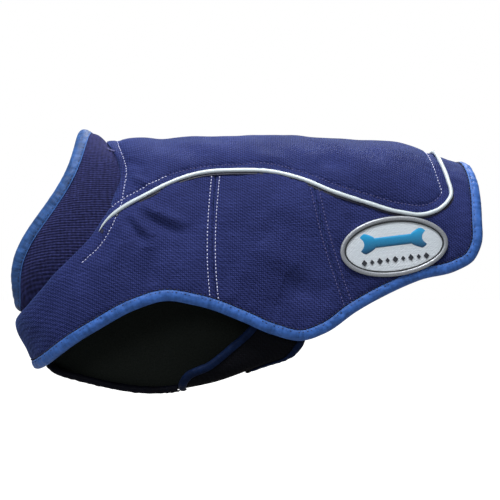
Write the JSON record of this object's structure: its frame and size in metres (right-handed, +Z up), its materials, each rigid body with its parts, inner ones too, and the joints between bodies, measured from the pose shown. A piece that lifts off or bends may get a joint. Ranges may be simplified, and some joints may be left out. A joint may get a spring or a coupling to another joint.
{
  "type": "dog turnout coat",
  "caption": "Padded dog coat in the turnout-rug cut: shaped back and sides, collar with a lead slot, bound edges, silver piping and a belly flap whose wings fasten inside the sides.",
  "frame": {"origin": "on the lining's inner face at the middle of the back, where the coat rests on the dog's spine", "axes": "+X towards the tail, +Y towards the dog's right side, +Z up, as worn by a standing dog"},
  "size_m": [0.4303, 0.1688, 0.2475],
  "materials": {
    "shell_cloth": "woven, dull",
    "lining_cloth": "woven, dull",
    "wadding": "loose fibre",
    "binding_tape": "satin",
    "reflective_piping": "satin",
    "sewing_thread": "satin",
    "badge_rim": "satin",
    "badge_ground": "woven",
    "badge_emblem": "satin",
    "badge_bar": "woven",
    "hook_and_loop_tape": "pile"
  },
  "bodies": {
    "coat": {"badge_bar": "badge_bar", "badge_bone": "badge_emblem", "badge_ground": "badge_ground", "badge_rim": "badge_rim", "collar_lining": "lining_cloth", "collar_panel": "shell_cloth", "collar_stitching": "sewing_thread", "collar_wadding": "wadding", "hem_binding": "binding_tape", "left_flank_lining": "lining_cloth", "left_flank_panel": "shell_cloth", "left_flank_wadding": "wadding", "left_front_seam_stitching_1": "sewing_thread", "left_front_seam_stitching_2": "sewing_thread", "left_gusset_lining": "lining_cloth", "left_gusset_panel": "shell_cloth", "left_gusset_wadding": "wadding", "left_lead_slot_tack": "sewing_thread", "left_loop_tape": "hook_and_loop_tape", "left_rear_seam_stitching_1": "sewing_thread", "left_rear_seam_stitching_2": "sewing_thread", "left_shoulder_lining": "lining_cloth", "left_shoulder_panel": "shell_cloth", "left_shoulder_wadding": "wadding", "neck_binding": "binding_tape", "piping_stitching": "sewing_thread", "reflective_piping": "reflective_piping", "right_flank_lining": "lining_cloth", "right_flank_panel": "shell_cloth", "right_flank_wadding": "wadding", "right_front_seam_stitching_1": "sewing_thread", "right_front_seam_stitching_2": "sewing_thread", "right_gusset_lining": "lining_cloth", "right_gusset_panel": "shell_cloth", "right_gusset_wadding": "wadding", "right_lead_slot_tack": "sewing_thread", "right_loop_tape": "hook_and_loop_tape", "right_rear_seam_stitching_1": "sewing_thread", "right_rear_seam_stitching_2": "sewing_thread", "right_shoulder_lining": "lining_cloth", "right_shoulder_panel": "shell_cloth", "right_shoulder_wadding": "wadding", "spine_lining": "lining_cloth", "spine_panel": "shell_cloth", "spine_wadding": "wadding"},
    "belly_flap": {"belly_strap": "shell_cloth", "belly_strap_lining": "lining_cloth", "left_strap_binding": "binding_tape", "right_strap_binding": "binding_tape", "rear_strap_binding": "binding_tape", "left_leg_gusset": "lining_cloth", "right_leg_gusset": "lining_cloth"},
    "left_flap_wing": {"left_wing": "shell_cloth", "left_wing_lining": "lining_cloth", "left_wing_binding": "binding_tape", "left_hook_tape": "hook_and_loop_tape"},
    "right_flap_wing": {"right_wing": "shell_cloth", "right_wing_lining": "lining_cloth", "right_wing_binding": "binding_tape", "right_hook_tape": "hook_and_loop_tape"}
  },
  "joints": [
    {"name": "belly_flap_drop", "type": "hinge", "parent": "coat", "child": "belly_flap", "pos_m": [-0.2291, 0, -0.2071], "axis": [0, 1, 0], "range_deg": [0, 90]},
    {"name": "left_wing_peel", "type": "hinge", "parent": "belly_flap", "child": "left_flap_wing", "pos_m": [-0.07075, -0.04398, -0.21622], "axis": [-0.9632, 0.0146, -0.2685], "range_deg": [0, 18]},
    {"name": "right_wing_peel", "type": "hinge", "parent": "belly_flap", "child": "right_flap_wing", "pos_m": [-0.07075, 0.04398, -0.21622], "axis": [0.9632, 0.0146, 0.2685], "range_deg": [0, 18]}
  ]
}
